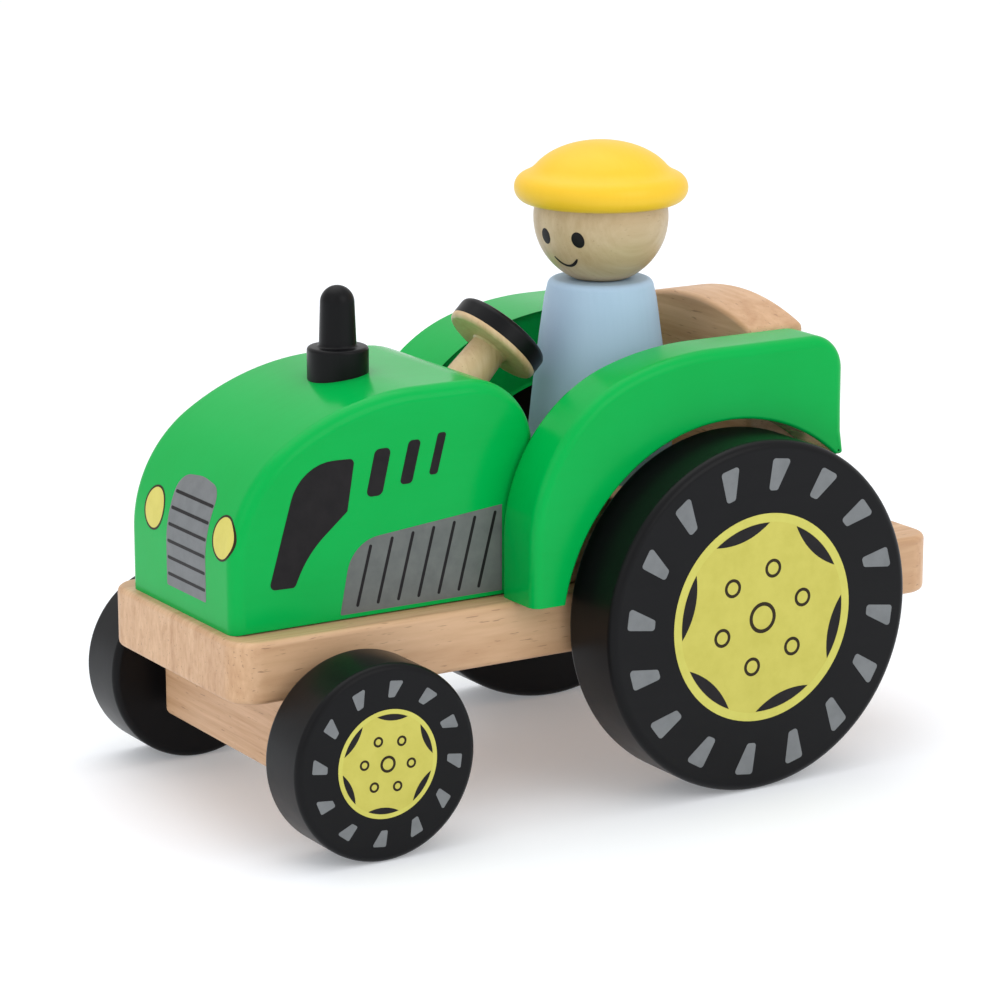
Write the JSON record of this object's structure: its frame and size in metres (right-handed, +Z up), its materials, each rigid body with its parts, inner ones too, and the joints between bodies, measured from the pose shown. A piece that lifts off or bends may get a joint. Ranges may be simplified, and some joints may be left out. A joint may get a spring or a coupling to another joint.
{
  "type": "toy tractor",
  "caption": "Wooden toy tractor with a rounded hood, arched rear fenders, large rear wheels, small front wheels, a turning steering wheel and a lift-out peg driver.",
  "frame": {"origin": "on the ground under the middle of the chassis board, midway between the wheels of each pair", "axes": "+X towards the nose, +Y to the tractor's left, +Z up"},
  "size_m": [0.1382, 0.0778, 0.1055],
  "materials": {
    "beech": "sanded and lightly waxed beech",
    "maple": "turned pale hardwood, clear lacquer",
    "green_paint": "satin gloss green paint on wood",
    "black_paint": "satin black paint on wood",
    "blue_paint": "satin light blue paint on wood",
    "yellow_paint": "satin yellow paint on wood",
    "steel": "drawn steel rod and zinc-plated screws",
    "nylon": "natural nylon"
  },
  "bodies": {
    "tractor": {"chassis_board": "beech", "front_axle_block": "beech", "axle_block_screws": "steel", "hood": "green_paint", "hood_dowels": "beech", "exhaust_stack": "black_paint", "left_fender": "green_paint", "right_fender": "green_paint", "left_fender_dowels": "beech", "right_fender_dowels": "beech", "seat_block": "beech", "seat_back": "beech", "seat_dowels": "beech"},
    "front_wheelset": {"front_axle": "steel", "front_left_wheel": "black_paint", "front_right_wheel": "black_paint", "front_spacers": "nylon"},
    "rear_wheelset": {"rear_axle": "steel", "rear_left_wheel": "black_paint", "rear_right_wheel": "black_paint", "rear_spacers": "nylon"},
    "steering": {"steering_wheel": "maple"},
    "driver": {"driver_body": "blue_paint", "neck_dowel": "beech"},
    "driver_top": {"driver_head": "maple", "driver_hat": "yellow_paint"}
  },
  "joints": [
    {"name": "front_wheels_turn", "type": "hinge", "parent": "tractor", "child": "front_wheelset", "pos_m": [0.0504, 0, 0.01625], "axis": [0, 1, 0], "continuous": true},
    {"name": "rear_wheels_turn", "type": "hinge", "parent": "tractor", "child": "rear_wheelset", "pos_m": [-0.0209, 0, 0.03], "axis": [0, 1, 0], "continuous": true},
    {"name": "steering_turn", "type": "hinge", "parent": "tractor", "child": "steering", "pos_m": [0.0069, 0, 0.0736], "axis": [-0.7071, 0, 0.7071], "continuous": true},
    {"name": "driver_lift", "type": "slide", "parent": "tractor", "child": "driver", "axis": [0, 0, 1], "range_m": [0, 0.06]},
    {"name": "head_turn", "type": "hinge", "parent": "driver", "child": "driver_top", "pos_m": [-0.0137, 0, 0.0926], "axis": [0, 0, 1], "continuous": true}
  ]
}
